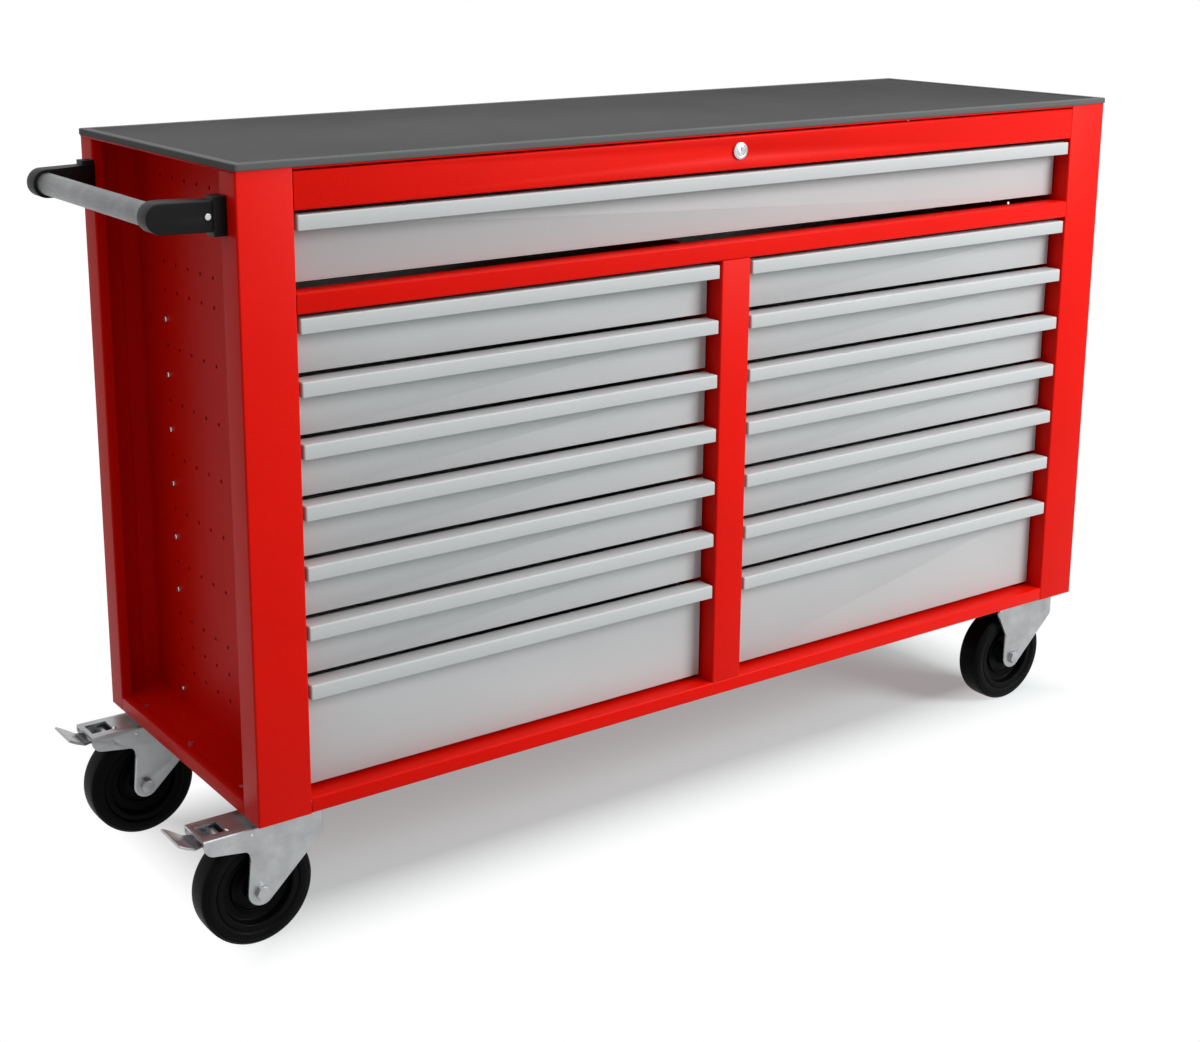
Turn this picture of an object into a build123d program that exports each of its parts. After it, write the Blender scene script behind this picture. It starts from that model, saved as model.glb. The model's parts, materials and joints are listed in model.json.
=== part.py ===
from build123d import *
from math import acos, atan2, cos, hypot, sin
import os

# Rolling tool chest: a folded steel cabinet with fifteen drawers, a push handle and four swivel casters.
# X runs from left to right along the front, Y from front to back and Z up, in millimetres.
# The origin is on the floor, under the middle of the overall box.

# Cabinet body
width = 1455
depth = 460
height = 790
frame_sheet = 1.5
panel_sheet = 1.2
tray_sheet = 1.0
fold_radius = 2.5

# Frame members
post_width = 72
post_flange = 42
post_return = 14
post_inner_flange = 40
rear_flange = 38
rear_leg = 60
centre_post_width = 50
hem_width = 12
hem_height = 2 * frame_sheet
hem_radius = 1.2
panel_start = 31

# Rails: height of the lower edge above the body's lower edge, height of the face, depth of the folds
upper_rail_low = 740
upper_rail_height = 45
upper_rail_top_fold = 12
cross_rail_low = 620
cross_rail_height = 25
rail_fold = 28
bottom_rail_height = 20
bottom_rail_top_fold = 30
bottom_rail_low_fold = 14

# Perforated side panels
hole_radius = 2.5
hole_pitch = 37.5
hole_columns = 9
first_hole_column = 76
first_hole_row = 66
hole_rows = (0, 1, 2, 4, 6, 8, 10, 12, 14, 15, 17, 18)

# Drawers
side_gap = 3.5
stack_gap = 5
shallow_height = 70
deep_height = 140
bank_heights = [shallow_height] * 6 + [deep_height]
top_drawer_low = 653
top_drawer_height = 82
grip_depth = 27
grip_lip = 18
grip_radius = 2
front_return = 10
return_inset = 12
tray_back = 430
tray_floor_rise = 5
tray_top_drop = 12
tray_corner = 2
tray_floor_radius = 1.6

# Ball-bearing runners
runner_start = 32
runner_length = 400
runner_rise = 1
runner_height = 35
runner_radius = 2
top_runner_height = 45
top_runner_rise = 28
runner_width = 12.7
channel_depth = 9
slide_depth = 8.7
slide_inset = 3
tray_gap = 0.1
stud_radius = 4
stud_height = 3
stud_shank = 2
stud_dome = 1.2
stud_rise = 6.5
stud_columns = (76, 376)
top_stud_columns = (301, 338.5)
top_stud_height = 703.5

# Lock
lock_height = 765
lock_proud = 3
lock_flange_radius = 11.5
lock_flange_chamfer = 0.8
lock_barrel_radius = 9.5
lock_barrel_length = 24
lock_plug_radius = 7.5
lock_plug_recess = 0.4
lock_fit = 0.05
lock_nut_radius = 14
lock_nut_height = 4
key_slot = (1, 8, 12)
cam_thickness = 3
cam_width = 12
cam_reach = 14
cam_start = 30
cam_screw_radius = 2.5
cam_screw_height = 5

# Push handle: its arms lean in from the posts towards the bar
handle_reach = 89
handle_height = 738
bar_radius = 14
bar_wall = 2
bar_socket = 12
bar_end_gap = 0.2
arm_root = (24, 46)
arm_tip = (40, 66)
arm_height = 36
arm_radius = 2.5
bracket_base = (16, 46)
base_limits = (22.5, 44)
base_radius = 2
handle_screw_offset = 21
handle_screw_height = 2.5
handle_screw_length = 14
handle_screw_dome = 1

# Worktop mat
mat_thickness = 8
mat_overhang = 2
mat_corner = 5
mat_edge_radius = 1.5
mat_rim = 12
mat_rim_height = 1

# Casters
caster_height = 190
floor_recess = 17
kingpin_inset_x = 57
kingpin_inset_y = 52
caster_trail = 45
axle_radius = 6
pin_fit = 0.05
plate_size = (105, 85, 4)
plate_corner = 8
plate_holes = (80, 60)
plate_hole_radius = 4.5
bolt_radius = 4
bolt_hex_radius = 7.5
bolt_head_height = 5.3
floor_screw_inset = 16
floor_screw_height = 2
race_radius = 36
race_chamfer = 2
race_height = 10
race_gap = 0.3
kingpin_head_radius = 11
kingpin_head_low = 150
kingpin_head_top = 158.7

# Caster wheels: each step of the core is a radius and the half-width there
wheel_radius = 75
wheel_width = 40
tyre_inner_radius = 56
tyre_shoulder = 9
tyre_bead = 2
core_gap = 0.2
core_web = 6
core_steps = [(15, 23), (17, core_web), (30, core_web), (31, 11), (33, 11), (34, core_web), (46, core_web),
              (47.5, 18)]
core_rim = 18

# Caster forks: heights and distances are from the axle, with the trailing side negative
fork_inner = 25.5
fork_sheet = 3.5
fork_lobe = 18
fork_crown = 88
fork_end = 87
fork_end_low = 57
fork_end_radius = 6
crown_radius = 3
axle_hex_radius = 9.5
axle_hex_height = 6
axle_bolt_gap = 0.1
trailing_edge = [(-18, 0), (-18.5, 42), (-37, 78), (-37, fork_crown)]
trailing_radius = 8

# Brake housing of a braked fork, and its pedal
housing_end = -74
housing_low = 67.5
housing_radius = 15
housing_root = (-16, 59)
housing_leg = (-14, 49)
housing_window = (-68, -38)
housing_window_half = 15
pedal_pivot = (-45, 76)
pedal_pin_radius = 3
pedal_barrel_radius = 6
pedal_sheet = 3
pedal_top = 77.5
pedal_bend = (-80, 79)
pedal_bend_radius = 6
pedal_tip = (-104, 92)
pedal_tip_radius = 8
pedal_root_half = 17
pedal_tip_half = 27
pedal_taper = (-95, -72)
shoe_x = (-55, -47)
shoe_half = 10
shoe_low = 62

# Place of the body in the shared frame
x_middle = (handle_reach - mat_overhang) / 2
x_left = x_middle - width / 2
x_right = x_middle + width / 2
y_front = lock_proud - (depth + mat_overhang + lock_proud) / 2
y_back = y_front + depth
y_middle = (y_front + y_back) / 2
z_base = caster_height - floor_recess
z_top = z_base + height
z_floor = caster_height + frame_sheet
left_to_right = Plane.YZ.offset(x_middle)
front_to_back = Plane.XZ.offset(-y_middle)

# Faces that the runners are fixed to, and the middle of the left bank of drawers
left_wall = x_left + post_width + panel_sheet
divider_wall = x_middle - centre_post_width / 2 - panel_sheet
left_bank_middle = (left_wall + divider_wall) / 2
left_bank = Plane.YZ.offset(left_bank_middle)

# Places of the casters
caster_places = {
    "front_left": (x_left + kingpin_inset_x, y_front + kingpin_inset_y),
    "rear_left": (x_left + kingpin_inset_x, y_back - kingpin_inset_y),
    "front_right": (x_right - kingpin_inset_x, y_front + kingpin_inset_y),
    "rear_right": (x_right - kingpin_inset_x, y_back - kingpin_inset_y),
}


def block(x_limits, y_limits, z_limits, mode=Mode.ADD):
    """Box between a lower and an upper limit on each axis."""
    limits = (x_limits, y_limits, z_limits)
    centre = tuple((low + high) / 2 for low, high in limits)
    sizes = tuple(high - low for low, high in limits)
    with Locations(centre):
        Box(*sizes, mode=mode)


def rod(start, direction, length, radius, mode=Mode.ADD):
    """Cylinder that runs from a point in a direction."""
    with Locations(Plane(start, z_dir=direction)):
        Cylinder(radius, length, align=(Align.CENTER, Align.CENTER, Align.MIN), mode=mode)


def folded_bar(plane, points, sheet, length, radius=fold_radius):
    """Folded sheet section, extruded along its plane's normal; the sheet is left of the path."""
    with BuildSketch(plane) as section:
        with BuildLine():
            FilletPolyline(*points, radius=radius)
            offset(amount=sheet, side=Side.LEFT)
        make_face()
    extrude(section.sketch, amount=length)


def save(piece, name):
    """Label a finished sub-part and write it as a STEP file."""
    piece.part.label = name
    export_step(piece.part, f"parts/{name}.step")


os.makedirs("parts", exist_ok=True)

# Top panel: a sheet with a hem folded under it all round, notched where the front posts come up
with BuildPart() as top_panel:
    block((x_left, x_right), (y_front, y_back), (z_top - hem_height, z_top))
    block((x_left + hem_width, x_right - hem_width), (y_front + hem_width, y_back - hem_width),
          (z_top - hem_height, z_top - frame_sheet), mode=Mode.SUBTRACT)
    fold_edges = top_panel.edges().filter_by(Axis.Y).group_by(Axis.X)
    fillet(fold_edges[0] + fold_edges[-1], hem_radius)
    fold_edges = top_panel.edges().filter_by(Axis.X).group_by(Axis.Y)
    fillet(fold_edges[0], hem_radius)
    for corner in ((x_left, x_left + post_width), (x_right - post_width, x_right)):
        block(corner, (y_front, y_front + frame_sheet), (z_top - hem_height, z_top),
              mode=Mode.SUBTRACT)
save(top_panel, "top_panel")

# Bottom panel: the floor plate, raised above the body's lower edge, with flanges down to that edge
with BuildPart() as bottom_panel:
    plate_levels = (caster_height, z_floor)
    between_posts = (y_front + post_flange, y_back - rear_flange)
    block((x_left + frame_sheet, x_right - frame_sheet), (y_front + fold_radius, y_back - frame_sheet),
          plate_levels)
    block((x_left, x_right), between_posts, (z_base, z_floor))
    block((x_left + frame_sheet, x_right - frame_sheet), between_posts, (z_base, caster_height),
          mode=Mode.SUBTRACT)
    block((x_left + rear_leg, x_right - rear_leg), (y_back - frame_sheet, y_back), (z_base, z_floor))
    fold_edges = bottom_panel.edges().filter_by(Axis.Y).group_by(Axis.Z)[-1].group_by(Axis.X)
    fillet(fold_edges[0] + fold_edges[-1], frame_sheet)
    for place in caster_places.values():
        with Locations((*place, caster_height)):
            with GridLocations(*plate_holes, 2, 2):
                Cylinder(bolt_radius + pin_fit, 4 * frame_sheet, mode=Mode.SUBTRACT)
save(bottom_panel, "bottom_panel")

# Back panel: a plain sheet inside the rear posts
with BuildPart() as back_panel:
    block((x_left + rear_leg - hem_width, x_right - rear_leg + hem_width),
          (y_back - frame_sheet - panel_sheet, y_back - frame_sheet), (z_floor, z_top - hem_height))
save(back_panel, "back_panel")


def stud_places():
    """Places of the runner studs on a side panel, as (Y, Z) points."""
    places = [(y_front + column, z_base + top_stud_height) for column in top_stud_columns]
    for low in bank_levels:
        places += [(y_front + column, z_base + low + stud_rise) for column in stud_columns]
    return places


def side_panel(x_low):
    """Perforated sheet that closes the cabinet behind the side recess."""
    y_limits = (y_front + panel_start, y_back - frame_sheet - panel_sheet)
    z_limits = (z_floor, z_top - hem_height)
    holes = [
        (y_front + first_hole_column + hole_pitch * column, z_base + first_hole_row + hole_pitch * row)
        for column in range(hole_columns)
        for row in hole_rows
    ]
    with BuildPart() as panel:
        with BuildSketch(Plane.YZ.offset(x_low)):
            with Locations((sum(y_limits) / 2, sum(z_limits) / 2)):
                Rectangle(y_limits[1] - y_limits[0], z_limits[1] - z_limits[0])
            with Locations(*holes):
                Circle(hole_radius, mode=Mode.SUBTRACT)
            with Locations(*stud_places()):
                Circle(stud_shank + pin_fit, mode=Mode.SUBTRACT)
        extrude(amount=panel_sheet)
    return panel


# Levels of the lower edges of the drawer fronts in a bank, from the top down
bank_levels = []
level = cross_rail_low
for front_height in bank_heights:
    level -= stack_gap + front_height
    bank_levels.append(level)

save(side_panel(x_left + post_width), "left_side_panel")
save(side_panel(x_right - post_width - panel_sheet), "right_side_panel")

# Front posts: wide folded channels, whose folds stand on the floor plate
with BuildPart() as front_posts:
    folded_bar(Plane((x_left, y_front, z_base)),
               [(post_return, post_flange), (0, post_flange), (0, 0), (post_width, 0),
                (post_width, post_inner_flange)], frame_sheet, height)
    for levels in ((z_base, z_floor), (z_top - hem_height, z_top)):
        block((x_left + frame_sheet, x_left + post_width), (y_front + frame_sheet, y_front + post_flange),
              levels, mode=Mode.SUBTRACT)
    block((x_left, x_left + frame_sheet), (y_front + frame_sheet, y_front + post_flange),
          (z_top - hem_height, z_top), mode=Mode.SUBTRACT)
    mirror(about=left_to_right)
save(front_posts, "front_posts")

# Rear posts: angles with a return fold along their front edge
with BuildPart() as rear_posts:
    folded_bar(Plane((x_left, y_back, z_base)),
               [(rear_leg, 0), (0, 0), (0, -rear_flange), (post_return, -rear_flange)],
               frame_sheet, height - hem_height)
    block((x_left + frame_sheet, x_left + rear_leg), (y_back - rear_flange, y_back - frame_sheet),
          (z_base, z_floor), mode=Mode.SUBTRACT)
    mirror(about=left_to_right)
save(rear_posts, "rear_posts")

# Centre post: a channel between the bottom rail and the cross rail
with BuildPart() as centre_post:
    folded_bar(Plane((x_middle - centre_post_width / 2, y_front, z_base + bottom_rail_height)),
               [(0, post_inner_flange), (0, 0), (centre_post_width, 0),
                (centre_post_width, post_inner_flange)],
               frame_sheet, cross_rail_low - bottom_rail_height)
save(centre_post, "centre_post")

# Centre divider: a deep folded channel that carries the inner runners of both banks
with BuildPart() as centre_divider:
    half_divider = x_middle - divider_wall
    divider_back = depth - frame_sheet - panel_sheet
    folded_bar(Plane((x_middle, y_front, z_floor)),
               [(half_divider, panel_start), (half_divider, divider_back),
                (-half_divider, divider_back), (-half_divider, panel_start)],
               panel_sheet, z_base + cross_rail_low - z_floor)
save(centre_divider, "centre_divider")


def rail(low, face_height, top_fold, low_fold):
    """Folded rail between the front posts, with its folds to the back."""
    plane = Plane((x_left + post_width, y_front, z_base + low), x_dir=(0, 1, 0), z_dir=(1, 0, 0))
    points = [(top_fold, face_height), (0, face_height), (0, 0), (low_fold, 0)]
    folded_bar(plane, points, frame_sheet, width - 2 * post_width)


with BuildPart() as upper_rail:
    rail(upper_rail_low, upper_rail_height, upper_rail_top_fold, rail_fold)
    rod((x_middle, y_front, z_base + lock_height), (0, 1, 0), frame_sheet, lock_barrel_radius + pin_fit,
        mode=Mode.SUBTRACT)
save(upper_rail, "upper_rail")

with BuildPart() as cross_rail:
    rail(cross_rail_low, cross_rail_height, rail_fold, rail_fold)
save(cross_rail, "cross_rail")

with BuildPart() as bottom_rail:
    rail(0, bottom_rail_height, bottom_rail_top_fold, bottom_rail_low_fold)
save(bottom_rail, "bottom_rail")

# Worktop mat: a soft sheet with a low rim round its edge
with BuildPart() as worktop_mat:
    block((x_left - mat_overhang, x_right + mat_overhang), (y_front - mat_overhang, y_back + mat_overhang),
          (z_top, z_top + mat_thickness))
    fillet(worktop_mat.edges().filter_by(Axis.Z), mat_corner)
    fillet(worktop_mat.faces().sort_by(Axis.Z)[-1].edges(), mat_edge_radius)
    inset = mat_rim - mat_overhang
    block((x_left + inset, x_right - inset), (y_front + inset, y_back - inset),
          (z_top + mat_thickness - mat_rim_height, z_top + mat_thickness), mode=Mode.SUBTRACT)
save(worktop_mat, "worktop_mat")


def runner_levels(low, is_top=False):
    """Lower level and height of the runner of a drawer whose front starts at a level."""
    if is_top:
        return z_base + low + top_runner_rise, top_runner_height
    return z_base + low + runner_rise, runner_height


def channel(low, points):
    """Runner section along Y beside the left wall; X counts from that wall and Z from its lower edge."""
    back_end = (left_wall, y_front + runner_start + runner_length, low)
    plane = Plane(back_end, x_dir=(1, 0, 0), z_dir=(0, -1, 0))
    folded_bar(plane, points, panel_sheet, runner_length, radius=runner_radius)


def cabinet_channel(low, bar_height):
    """Outer member of a runner, fixed to the wall and open towards the drawer."""
    channel(low, [(channel_depth, bar_height), (0, bar_height), (0, 0), (channel_depth, 0)])


def drawer_channel(low, bar_height):
    """Inner member of a runner, fixed to the tray and open towards the wall."""
    inner = runner_width - slide_depth
    top = bar_height - slide_inset
    channel(low, [(inner, slide_inset), (runner_width, slide_inset), (runner_width, top), (inner, top)])


# Cabinet runners: two for each drawer
with BuildPart() as cabinet_runners:
    for level in bank_levels:
        cabinet_channel(*runner_levels(level))
    mirror(about=left_bank)
    cabinet_channel(*runner_levels(top_drawer_low, is_top=True))
    mirror(about=left_to_right)
save(cabinet_runners, "cabinet_runners")


def drawer_front(x_limits, low, front_height):
    """Folded drawer front: a hollow full-width grip over a set-back panel with a return below."""
    x_low, x_high = x_limits
    z_low = z_base + low
    z_high = z_low + front_height
    panel_back = y_front + grip_depth + panel_sheet
    with BuildPart() as front:
        block(x_limits, (y_front, panel_back), (z_high - grip_lip, z_high))
        fillet(front.edges().filter_by(Axis.Z).group_by(Axis.Y)[0], grip_radius)
        top_edges = front.faces().sort_by(Axis.Z)[-1].edges()
        fillet(top_edges.sort_by(Axis.Y)[:-1], grip_radius)
        block((x_low + panel_sheet, x_high - panel_sheet), (y_front + panel_sheet, y_front + grip_depth),
              (z_high - grip_lip, z_high - panel_sheet), mode=Mode.SUBTRACT)
        block(x_limits, (y_front + grip_depth, panel_back), (z_low, z_high - grip_lip))
        block((x_low + return_inset, x_high - return_inset),
              (y_front + grip_depth, panel_back + front_return), (z_low, z_low + panel_sheet))
    return front


def drawer_tray(x_limits, low, front_height, mirror_plane, runner):
    """Open tray behind the front, with the two runner members fixed to its sides."""
    x_low, x_high = x_limits
    y_limits = (y_front + grip_depth + panel_sheet, y_front + tray_back)
    z_limits = (z_base + low + tray_floor_rise, z_base + low + front_height - tray_top_drop)
    with BuildPart() as tray:
        block(x_limits, y_limits, z_limits)
        fillet(tray.edges().filter_by(Axis.Z), tray_corner)
        fillet(tray.faces().sort_by(Axis.Z)[0].edges(), tray_floor_radius)
        block((x_low + tray_sheet, x_high - tray_sheet),
              (y_limits[0] + tray_sheet, y_limits[1] - tray_sheet),
              (z_limits[0] + tray_sheet, z_limits[1]), mode=Mode.SUBTRACT)
    with BuildPart() as slides:
        drawer_channel(*runner)
        mirror(about=mirror_plane)
    with BuildPart() as assembled:
        add(tray.part)
        add(slides.part)
    return assembled


# Top drawer, across the whole width
tray_inset = runner_width + tray_gap
top_front_limits = (x_left + post_width + side_gap, x_right - post_width - side_gap)
top_tray_limits = (left_wall + tray_inset, 2 * x_middle - left_wall - tray_inset)
save(drawer_front(top_front_limits, top_drawer_low, top_drawer_height), "top_drawer_front")
top_tray = drawer_tray(top_tray_limits, top_drawer_low, top_drawer_height, left_to_right,
                       runner_levels(top_drawer_low, is_top=True))
save(top_tray, "top_drawer_tray")

# Left bank of drawers, and the right bank as its mirror image
bank_front_limits = (x_left + post_width + side_gap, x_middle - centre_post_width / 2 - side_gap)
bank_tray_limits = (left_wall + tray_inset, divider_wall - tray_inset)
for number, (level, front_height) in enumerate(zip(bank_levels, bank_heights), start=1):
    left_front = drawer_front(bank_front_limits, level, front_height)
    left_tray = drawer_tray(bank_tray_limits, level, front_height, left_bank, runner_levels(level))
    with BuildPart() as right_front:
        add(mirror(left_front.part, about=left_to_right, mode=Mode.PRIVATE))
    with BuildPart() as right_tray:
        add(mirror(left_tray.part, about=left_to_right, mode=Mode.PRIVATE))
    save(left_front, f"left_drawer_{number}_front")
    save(left_tray, f"left_drawer_{number}_tray")
    save(right_front, f"right_drawer_{number}_front")
    save(right_tray, f"right_drawer_{number}_tray")

# Lock: a flanged barrel through the upper rail, and a plug that turns in it and carries the cam
lock_z = z_base + lock_height
lock_centre = (x_middle, y_front, lock_z)
lock_face = (x_middle, y_front - lock_proud, lock_z)
with BuildPart() as lock_body:
    rod(lock_face, (0, 1, 0), lock_proud, lock_flange_radius)
    flange_rim = lock_body.edges().filter_by(GeomType.CIRCLE).sort_by(Axis.Y)[0]
    chamfer(flange_rim, lock_flange_chamfer)
    rod(lock_centre, (0, 1, 0), lock_barrel_length, lock_barrel_radius)
    rod(lock_face, (0, 1, 0), lock_proud + lock_barrel_length, lock_plug_radius + lock_fit,
        mode=Mode.SUBTRACT)
save(lock_body, "lock_body")

with BuildPart() as lock_plug:
    plug_face = y_front - lock_proud + lock_plug_recess
    cam_plane = Plane((x_middle, y_front + cam_start, lock_z), x_dir=(1, 0, 0), z_dir=(0, 1, 0))
    rod((x_middle, plug_face, lock_z), (0, 1, 0), y_front + cam_start - plug_face, lock_plug_radius)
    slot_width, slot_height, slot_depth = key_slot
    block((x_middle - slot_width / 2, x_middle + slot_width / 2), (plug_face, plug_face + slot_depth),
          (lock_z - slot_height / 2, lock_z + slot_height / 2), mode=Mode.SUBTRACT)
    with BuildSketch(cam_plane):
        with Locations((cam_reach / 2, 0)):
            SlotCenterToCenter(cam_reach, cam_width)
    extrude(amount=cam_thickness)
    rod((x_middle, y_front + cam_start + cam_thickness, lock_z), (0, 1, 0), cam_screw_radius,
        cam_screw_height)
save(lock_plug, "lock_plug")

# Push handle: two moulded brackets on the posts of the left side, with a tube between them
bar_x = x_left - handle_reach + arm_height / 2
bar_z = z_base + handle_height
arm_end = x_left - handle_reach
socket_start = y_front + arm_tip[1] - bar_socket
arm_lean = (arm_tip[0] - arm_root[0]) / handle_reach
screw_seat = y_front + arm_root[0] + arm_lean * (handle_screw_offset + stud_radius)
with BuildPart() as handle_brackets:
    with BuildSketch(Plane((0, y_front, 0), x_dir=(1, 0, 0), z_dir=(0, 1, 0))):
        with Locations((bar_x, -bar_z)):
            Circle(arm_height / 2)
        with Locations(((bar_x + x_left) / 2, -bar_z)):
            Rectangle(x_left - bar_x, arm_height)
    extrude(amount=arm_tip[1])
    with BuildSketch(Plane.XY.offset(bar_z - arm_height)):
        with BuildLine():
            Polyline((x_left, y_front + arm_root[0]), (arm_end, y_front + arm_tip[0]),
                     (arm_end, y_front + arm_tip[1]), (bar_x + bar_radius, y_front + arm_tip[1]),
                     (x_left, y_front + arm_root[1]), close=True)
        make_face()
    extrude(amount=2 * arm_height, mode=Mode.INTERSECT)
    front_face = handle_brackets.faces().sort_by_distance((bar_x, y_front, bar_z))[0]
    fillet(front_face.edges().sort_by(Axis.X)[:-1], arm_radius)
    base_depth, base_height = bracket_base
    block((x_left - base_depth, x_left), tuple(y_front + limit for limit in base_limits),
          (bar_z - base_height / 2, bar_z + base_height / 2))
    base_edges = handle_brackets.edges().group_by(Axis.Y)[0]
    fillet(base_edges.sort_by(Axis.X)[:-1], base_radius)
    rod((bar_x, socket_start, bar_z), (0, 1, 0), bar_socket, bar_radius + pin_fit, mode=Mode.SUBTRACT)
    screw_place = (x_left - handle_screw_offset, screw_seat, bar_z)
    rod(screw_place, (0, -1, 0), screw_seat - y_front, stud_radius + pin_fit, mode=Mode.SUBTRACT)
    rod(screw_place, (0, 1, 0), handle_screw_length, stud_shank + pin_fit, mode=Mode.SUBTRACT)
    mirror(about=front_to_back)
save(handle_brackets, "handle_brackets")

with BuildPart() as handle_bar:
    bar_start = socket_start + bar_end_gap
    bar_length = 2 * (y_middle - bar_start)
    for radius, mode in ((bar_radius, Mode.ADD), (bar_radius - bar_wall, Mode.SUBTRACT)):
        rod((bar_x, bar_start, bar_z), (0, 1, 0), bar_length, radius, mode=mode)
save(handle_bar, "handle_bar")

# Caster plates: mounting plate, upper race and riveted kingpin
plate_x, plate_y, plate_thickness = plate_size
plate_low = caster_height - plate_thickness
race_low = plate_low - race_height
with BuildPart() as caster_plates:
    for x, y in caster_places.values():
        block((x - plate_x / 2, x + plate_x / 2), (y - plate_y / 2, y + plate_y / 2),
              (plate_low, caster_height))
    fillet(caster_plates.edges().filter_by(Axis.Z), plate_corner)
    for x, y in caster_places.values():
        with Locations((x, y, caster_height)):
            with GridLocations(*plate_holes, 2, 2):
                Cylinder(plate_hole_radius, 3 * plate_thickness, mode=Mode.SUBTRACT)
        rod((x, y, plate_low), (0, 0, -1), race_height, race_radius)
    race_rims = caster_plates.edges().filter_by(GeomType.CIRCLE).group_by(Axis.Z)[0]
    chamfer(race_rims, race_chamfer)
    for x, y in caster_places.values():
        rod((x, y, race_low), (0, 0, -1), race_low - kingpin_head_top, axle_radius)
        rod((x, y, kingpin_head_top), (0, 0, -1), kingpin_head_top - kingpin_head_low, kingpin_head_radius)
save(caster_plates, "caster_plates")


def tangent_point(x, z, radius):
    """Point where a line from (x, z) touches the lower right of a circle round the origin."""
    angle = atan2(z, x) - acos(radius / hypot(x, z))
    return radius * cos(angle), radius * sin(angle)


def fork_profile(plane, braked):
    """Side view of a fork, from the round lobe at the axle to the crown; returns the sketch."""
    crown_end = (fork_end, fork_crown)
    corner = (fork_end, fork_end_low)
    if braked:
        housing_corner = (housing_end, housing_low)
        trail = [(-fork_lobe, 0), housing_leg, housing_root, housing_corner, (housing_end, fork_crown)]
        rounded = [(housing_root, trailing_radius), (housing_corner, housing_radius)]
    else:
        trail = trailing_edge
        rounded = [(trail[-1], trailing_radius)]
    rounded += [(corner, fork_end_radius), (crown_end, fork_end_radius)]
    with BuildSketch(plane) as profile:
        Circle(fork_lobe)
        with BuildLine():
            Polyline(*trail, crown_end, corner, tangent_point(*corner, fork_lobe), (0, 0), close=True)
        make_face()
        for point, radius in rounded:
            fillet(profile.vertices().sort_by_distance((*point, 0))[0], radius)
    return profile.sketch


def caster_fork(place, braked):
    """Pressed fork with its lower race and axle bolt; a braked fork has a housing for the pedal."""
    x_axle = place[0] - caster_trail
    y_axle = place[1]
    half_width = fork_inner + fork_sheet
    crown_top = wheel_radius + fork_crown
    crown_low = crown_top - fork_sheet
    pedal_pin = (x_axle + pedal_pivot[0], y_axle - half_width, wheel_radius + pedal_pivot[1])
    side = Plane((x_axle, y_axle + half_width, wheel_radius), x_dir=(1, 0, 0), z_dir=(0, -1, 0))
    with BuildPart() as fork:
        extrude(fork_profile(side, braked), amount=2 * half_width)
        fillet(fork.edges().filter_by(Axis.X).group_by(Axis.Z)[-1], crown_radius)
        block((x_axle - fork_crown, x_axle + fork_crown), (y_axle - fork_inner, y_axle + fork_inner),
              (0, crown_low), mode=Mode.SUBTRACT)
        rod((*place, crown_top), (0, 0, 1), race_low - race_gap - crown_top, race_radius - race_chamfer)
        rod((*place, crown_low), (0, 0, 1), race_low - crown_low, axle_radius + pin_fit,
            mode=Mode.SUBTRACT)
        rod((x_axle, y_axle - half_width, wheel_radius), (0, 1, 0), 2 * half_width,
            axle_radius + pin_fit, mode=Mode.SUBTRACT)
        if braked:
            window_x = tuple(x_axle + limit for limit in housing_window)
            block(window_x, (y_axle - housing_window_half, y_axle + housing_window_half),
                  (crown_low, crown_top), mode=Mode.SUBTRACT)
            rod(pedal_pin, (0, 1, 0), 2 * half_width, pedal_pin_radius + pin_fit, mode=Mode.SUBTRACT)
    with BuildPart() as bolts:
        bolt_half = half_width + axle_bolt_gap
        rod((x_axle, y_axle - bolt_half, wheel_radius), (0, 1, 0), 2 * bolt_half, axle_radius)
        for turn in (-1, 1):
            centre = (x_axle, y_axle + turn * bolt_half, wheel_radius)
            with BuildSketch(Plane(centre, x_dir=(1, 0, 0), z_dir=(0, turn, 0))) as hexagon:
                RegularPolygon(axle_hex_radius, 6)
            extrude(hexagon.sketch, amount=axle_hex_height)
        if braked:
            rod(pedal_pin, (0, 1, 0), 2 * half_width, pedal_pin_radius)
    with BuildPart() as assembled:
        add(fork.part)
        add(bolts.part)
    return assembled


def caster_wheel(place):
    """Rubber tyre on a moulded core that turns on the axle bolt."""
    centre = (place[0] - caster_trail, place[1], wheel_radius)
    across = Plane(centre, x_dir=(1, 0, 0), z_dir=(0, 0, 1))
    axle = Axis(centre, (0, 1, 0))
    hub_half = core_steps[0][1]
    edge_radius = tyre_inner_radius - core_gap
    one_side = [(axle_radius + pin_fit, hub_half)] + core_steps + [(edge_radius, core_rim)]
    core_outline = one_side + [(radius, -half) for radius, half in reversed(one_side)]
    with BuildPart() as wheel:
        with BuildSketch(across) as tyre:
            with Locations(((tyre_inner_radius + wheel_radius) / 2, 0)):
                Rectangle(wheel_radius - tyre_inner_radius, wheel_width)
            fillet(tyre.vertices().group_by(Axis.X)[-1], tyre_shoulder)
            fillet(tyre.vertices().group_by(Axis.X)[0], tyre_bead)
        revolve(axis=axle)
        with BuildSketch(across):
            with BuildLine():
                Polyline(*core_outline, close=True)
            make_face()
        revolve(axis=axle)
    return wheel


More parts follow.
